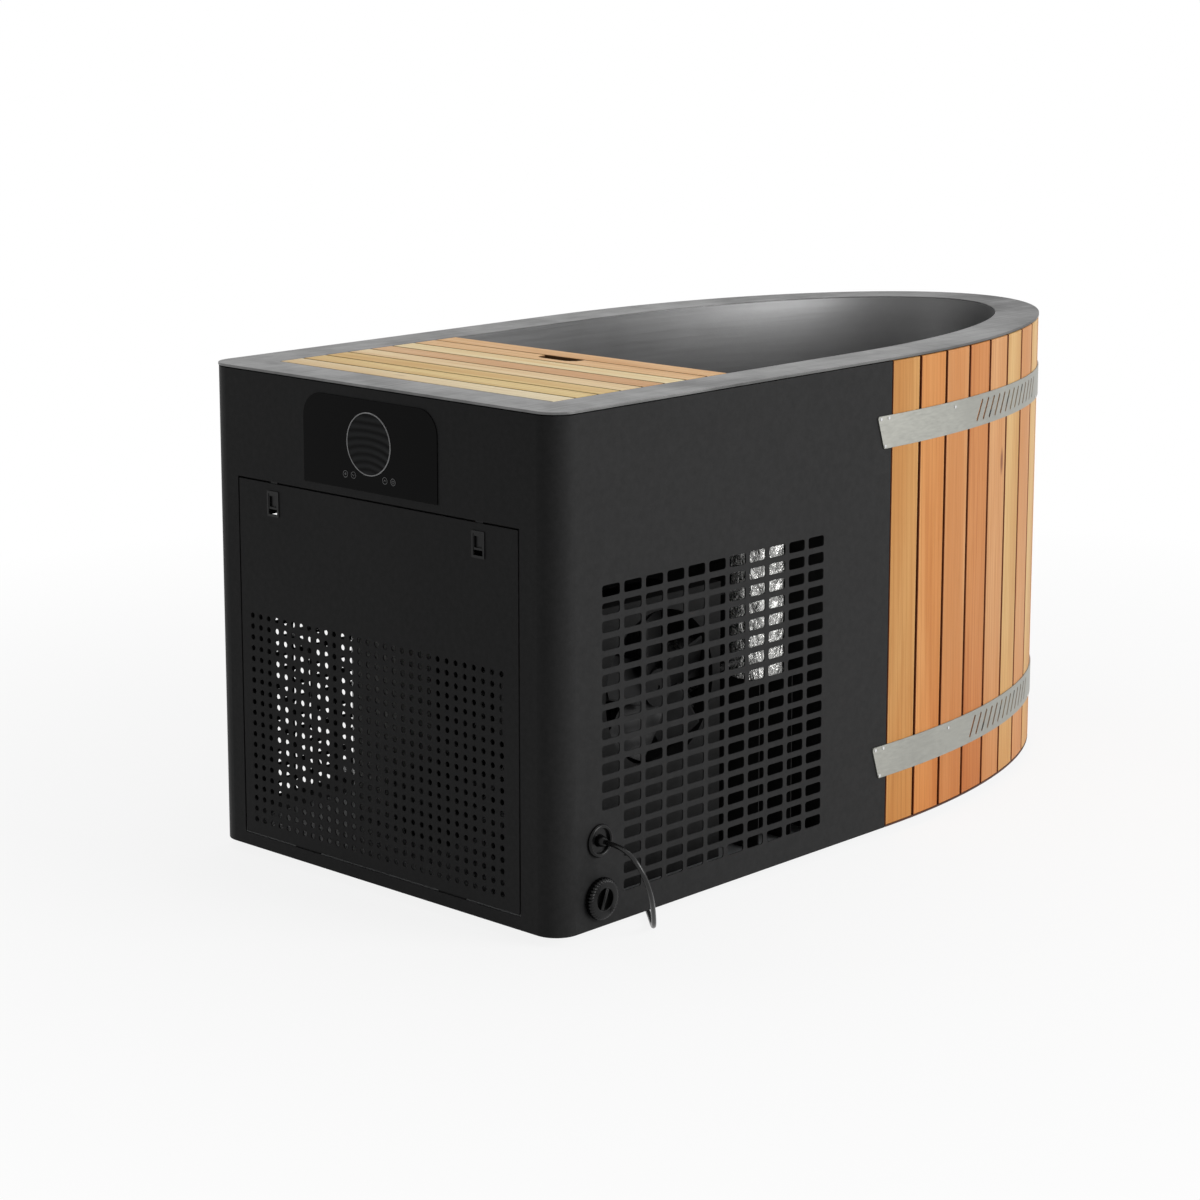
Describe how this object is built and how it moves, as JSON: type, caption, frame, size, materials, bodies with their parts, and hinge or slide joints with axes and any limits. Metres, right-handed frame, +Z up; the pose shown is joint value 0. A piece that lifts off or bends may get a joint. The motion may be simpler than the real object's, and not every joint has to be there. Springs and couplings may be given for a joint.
{
  "type": "cold plunge tub",
  "caption": "Cold plunge tub: steel basin with a seat, oval stave-clad end, slatted lift-off cover and a vented casing that holds the water chiller.",
  "frame": {"origin": "on the floor under the middle of the tub", "axes": "+X along the length towards the oval end, with the chiller at -X; +Z up; the side with the drain knob and cable is at -Y"},
  "size_m": [1.603, 1.0742, 0.82],
  "materials": {
    "rim_steel": "brushed along its length",
    "basin_steel": "brushed level",
    "black_casing": "satin powder coat",
    "galvanised": "zinc coated sheet",
    "band_sheet": "satin sheet",
    "screw_steel": "bright",
    "stave_wood": "clear oiled boards, each its own tone",
    "slat_wood": "clear oiled boards, each its own tone",
    "backing_board": "dark red-brown coated sheet",
    "foam": "rigid foam",
    "gloss_black": "gloss",
    "display_dark": "dark window",
    "display_grey": "light grey ring",
    "icon_grey": "outlined touch fields",
    "black_plastic": "fine texture",
    "black_rubber": "matt",
    "black_enamel": "gloss enamel",
    "fin_aluminium": "fine fins",
    "foil": "crinkled foil wrap",
    "filter_plastic": "moulded",
    "copper": "bare copper"
  },
  "bodies": {
    "tub": {"band_screws": "screw_steel", "basin_shell": "basin_steel", "bulkhead": "galvanised", "cable_grommet": "black_rubber", "casing_end": "black_casing", "casing_side_far": "black_casing", "casing_side_near": "black_casing", "compressor": "black_enamel", "compressor_mounts": "black_rubber", "condenser_coil": "fin_aluminium", "control_box": "black_plastic", "control_panel": "gloss_black", "copper_lines": "copper", "cord_coil": "black_rubber", "cover_ledge": "galvanised", "cross_bearers": "galvanised", "display_lens": "display_dark", "display_ring": "display_grey", "drain_hose": "black_rubber", "drain_strainer": "basin_steel", "drain_valve": "black_plastic", "exchanger_stand": "galvanised", "fan_motor": "black_enamel", "fan_shroud": "galvanised", "filter_housing": "filter_plastic", "floor_pan": "galvanised", "heat_exchanger": "foil", "insulation": "foam", "levelling_feet": "black_rubber", "lower_band": "band_sheet", "mains_cord": "black_rubber", "mains_plug": "black_plastic", "rim_deck": "rim_steel", "stave_backing": "backing_board", "staves_01_to_06": "stave_wood", "staves_07_to_12": "stave_wood", "staves_13_to_18": "stave_wood", "staves_19_to_24": "stave_wood", "touch_icons": "icon_grey", "upper_band": "band_sheet", "water_nozzles": "basin_steel", "water_pipes": "black_rubber", "water_pump": "black_enamel"},
    "door": {"service_door": "black_casing", "latch_bezels": "black_plastic"},
    "latch_near": {"latch_slider_near": "black_plastic"},
    "latch_far": {"latch_slider_far": "black_plastic"},
    "cover": {"cover_slat_1": "slat_wood", "cover_slat_2": "slat_wood", "cover_slat_3": "slat_wood", "cover_slat_4": "slat_wood", "cover_slat_5": "slat_wood", "cover_slat_6": "slat_wood", "cover_slat_7": "slat_wood", "cover_slat_8": "slat_wood", "cover_battens": "slat_wood", "cover_screws": "screw_steel"},
    "knob": {"drain_knob": "black_plastic"},
    "fan": {"fan_blades": "black_plastic"},
    "filter_lid": {"filter_lid": "black_plastic"}
  },
  "joints": [
    {"name": "door_tilt", "type": "hinge", "parent": "tub", "child": "door", "pos_m": [-0.797, 0.004, 0.0385], "axis": [0, -1, 0], "range_deg": [0, 65]},
    {"name": "latch_near_slide", "type": "slide", "parent": "door", "child": "latch_near", "axis": [0, 0, -1], "range_m": [0, 0.008]},
    {"name": "latch_far_slide", "type": "slide", "parent": "door", "child": "latch_far", "axis": [0, 0, -1], "range_m": [0, 0.008]},
    {"name": "cover_lift", "type": "slide", "parent": "tub", "child": "cover", "axis": [0, 0, 1], "range_m": [0, 0.15]},
    {"name": "drain_knob_turn", "type": "hinge", "parent": "tub", "child": "knob", "pos_m": [-0.706, -0.395, 0.063], "axis": [0, -1, 0], "range_deg": [0, 90]},
    {"name": "fan_spin", "type": "hinge", "parent": "tub", "child": "fan", "pos_m": [-0.51, -0.325, 0.346], "axis": [0, 1, 0], "continuous": true},
    {"name": "filter_lid_turn", "type": "hinge", "parent": "tub", "child": "filter_lid", "pos_m": [-0.55, 0.235, 0.67], "axis": [0, 0, 1], "range_deg": [0, 60]}
  ]
}
